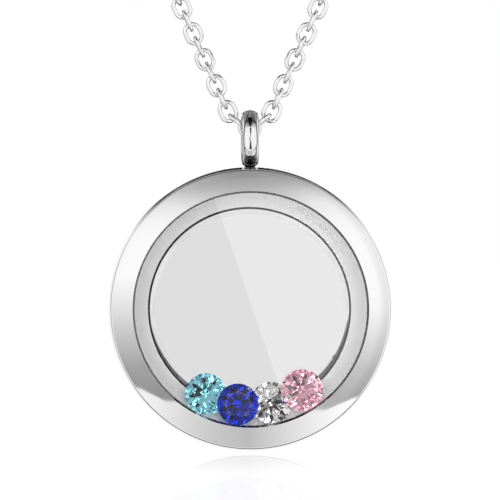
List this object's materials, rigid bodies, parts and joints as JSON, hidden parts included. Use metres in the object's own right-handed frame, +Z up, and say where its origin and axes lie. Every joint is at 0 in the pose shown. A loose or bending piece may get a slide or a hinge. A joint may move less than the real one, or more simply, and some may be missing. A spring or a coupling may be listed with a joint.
{
  "type": "floating locket necklace",
  "caption": "Round glass-windowed screw locket with loose cut stones inside, hung by a soldered ring bail on a whole loop of fine cable chain with a clasp at the nape.",
  "frame": {"origin": "at the nape, on the middle of the clasp's face that lies against the back of the neck", "axes": "+Z up; the locket faces -Y, away from the chest; +X to the right for someone who looks at the locket"},
  "size_m": [0.1146, 0.1133, 0.1886],
  "materials": {
    "case_steel": "polished stainless steel, satin on the rear flange",
    "bezel_steel": "mirror polished stainless steel",
    "chain_steel": "polished stainless steel",
    "clear_glass": "clear polished",
    "aqua_stone": "faceted, polished",
    "blue_stone": "faceted, polished",
    "clear_stone": "faceted, polished",
    "pink_stone": "faceted, polished"
  },
  "bodies": {
    "necklace": {"chain_front": "chain_steel", "chain_left": "chain_steel", "chain_right": "chain_steel", "clasp": "chain_steel"},
    "locket": {"case": "case_steel", "back_glass": "clear_glass", "stone_aqua": "aqua_stone", "stone_blue": "blue_stone", "stone_clear": "clear_stone", "stone_pink": "pink_stone"},
    "lid_glass": {"front_glass": "clear_glass"},
    "lid": {"bezel": "bezel_steel"}
  },
  "joints": [
    {"name": "locket_swing", "type": "hinge", "parent": "necklace", "child": "locket", "pos_m": [0, -0.107, -0.15121], "axis": [1, 0, 0], "range_deg": [-30, 30]},
    {"name": "lid_rise", "type": "slide", "parent": "locket", "child": "lid_glass", "axis": [0, -1, 0], "range_m": [0, 0.0016]},
    {"name": "lid_turn", "type": "hinge", "parent": "lid_glass", "child": "lid", "pos_m": [0, -0.1075, -0.17114], "axis": [0, -1, 0], "range_deg": [0, 720]}
  ],
  "couplings": [
    {"joint": "lid_rise", "follows": "lid_turn", "m_per_rad": 0.00012732}
  ]
}
